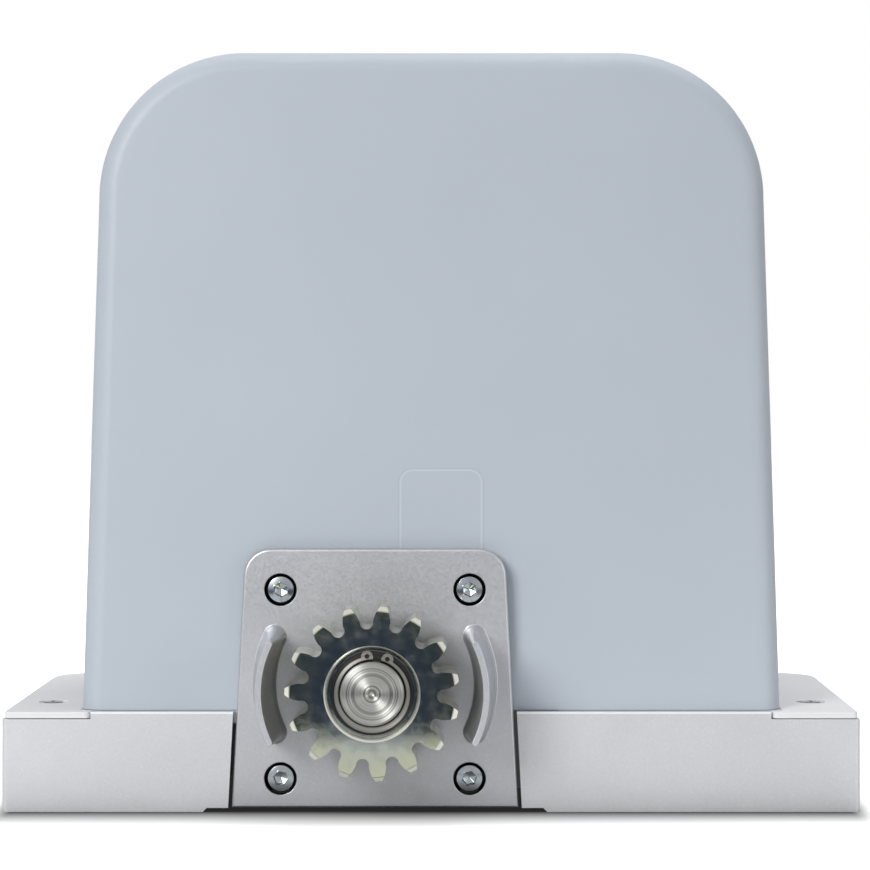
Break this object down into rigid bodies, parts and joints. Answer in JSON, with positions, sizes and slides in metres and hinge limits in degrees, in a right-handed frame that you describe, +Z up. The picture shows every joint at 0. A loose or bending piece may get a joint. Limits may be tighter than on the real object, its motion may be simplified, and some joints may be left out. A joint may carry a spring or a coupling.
{
  "type": "sliding gate motor",
  "caption": "Floor-standing sliding gate motor: cast base with capped bolt wells, tall moulded cover, guarded front pinion for a rack, worm gearbox and manual release lever.",
  "frame": {"origin": "on the floor, under the middle of the base casting", "axes": "+Z up; -Y towards the gate and its rack, where the pinion stands; +X along the gate, to the right when looking at the pinion"},
  "size_m": [0.3436, 0.2127, 0.306],
  "materials": {
    "painted_cast": "silver-grey textured paint on cast aluminium",
    "cover_abs": "satin pale blue-grey moulded plastic",
    "cap_plastic": "satin light grey moulded plastic",
    "cast_aluminium": "bare cast and machined aluminium",
    "zinc_steel": "machined steel, pale yellow zinc plating",
    "turned_steel": "turned and ground steel",
    "screw_steel": "zinc plated screws",
    "black_steel": "oiled spring steel",
    "bronze": "cast bronze, machined teeth",
    "copper": "enamelled copper wire",
    "lamination": "stacked electrical steel",
    "motor_paint": "black painted steel",
    "zinc_sheet": "galvanised sheet",
    "seal_rubber": "black nitrile rubber",
    "gasket_fibre": "pressed fibre gasket",
    "board": "green solder mask",
    "terminal_plastic": "green terminal blocks",
    "relay_plastic": "black relay cases",
    "capacitor_plastic": "white plastic can",
    "sensor_plastic": "black sensor case"
  },
  "bodies": {
    "frame": {"base_casting": "painted_cast", "left_ear_cap": "cap_plastic", "right_ear_cap": "cap_plastic", "ear_cap_screws": "screw_steel", "cover_screws": "screw_steel", "gearbox_front_plate": "painted_cast", "plate_screws": "screw_steel", "front_gasket": "gasket_fibre", "gearbox_body": "cast_aluminium", "gearbox_foot_screws": "screw_steel", "gearbox_rear_cover": "cast_aluminium", "rear_cover_screws": "screw_steel", "shaft_oil_seal": "seal_rubber", "output_bearing_outer_rings": "turned_steel", "worm_bearing_outer_rings": "turned_steel", "motor_flange": "cast_aluminium", "motor_flange_screws": "screw_steel", "motor_shell": "motor_paint", "motor_end_bell": "cast_aluminium", "stator_core": "lamination", "stator_windings": "copper", "transformer_core": "lamination", "transformer_coil": "copper", "board_bracket": "zinc_sheet", "board_standoffs": "zinc_sheet", "control_board": "board", "terminal_blocks": "terminal_plastic", "relays": "relay_plastic", "run_capacitor": "capacitor_plastic", "capacitor_clamp": "zinc_sheet", "limit_sensor": "sensor_plastic", "cable_grommet": "seal_rubber"},
    "output": {"output_shaft": "turned_steel", "drive_pinion": "zinc_steel", "pinion_key": "turned_steel", "retaining_washer": "turned_steel", "pinion_circlip": "black_steel", "worm_wheel": "bronze", "wheel_spacer": "turned_steel", "output_bearing_inner_rings": "turned_steel", "clutch_disc_springs": "black_steel"},
    "rotor": {"worm_shaft": "turned_steel", "rotor_core": "lamination", "worm_bearing_inner_rings": "turned_steel"},
    "clutch": {"clutch_ring": "turned_steel", "clutch_cross_pin": "turned_steel", "release_rod": "turned_steel"},
    "lever": {"release_lever": "painted_cast", "release_spindle": "turned_steel", "release_cam": "turned_steel", "lock_barrel": "zinc_sheet"},
    "lock": {"lock_plug": "bronze"},
    "hood": {"cover": "cover_abs"}
  },
  "joints": [
    {"name": "output_spin", "type": "hinge", "parent": "frame", "child": "output", "pos_m": [-0.0224, 0, 0.0511], "axis": [0, 1, 0], "continuous": true},
    {"name": "rotor_spin", "type": "hinge", "parent": "frame", "child": "rotor", "pos_m": [0.0261, -0.015, 0], "axis": [0, 0, 1], "continuous": true},
    {"name": "clutch_slide", "type": "slide", "parent": "output", "child": "clutch", "axis": [0, -1, 0], "range_m": [0, 0.006], "deforming": ["clutch_disc_springs"]},
    {"name": "release_turn", "type": "hinge", "parent": "frame", "child": "lever", "pos_m": [-0.0224, 0.066, 0], "axis": [0, 0, 1], "range_deg": [0, 90]},
    {"name": "lock_turn", "type": "hinge", "parent": "lever", "child": "lock", "pos_m": [0.0556, 0, 0.02], "axis": [0, -1, 0], "range_deg": [0, 90]},
    {"name": "cover_lift", "type": "slide", "parent": "frame", "child": "hood", "axis": [0, 0, 1], "range_m": [0, 0.3]}
  ],
  "couplings": [
    {"joint": "rotor_spin", "follows": "output_spin", "ratio": 24},
    {"joint": "clutch_slide", "follows": "release_turn", "m_per_rad": 0.0038197}
  ]
}
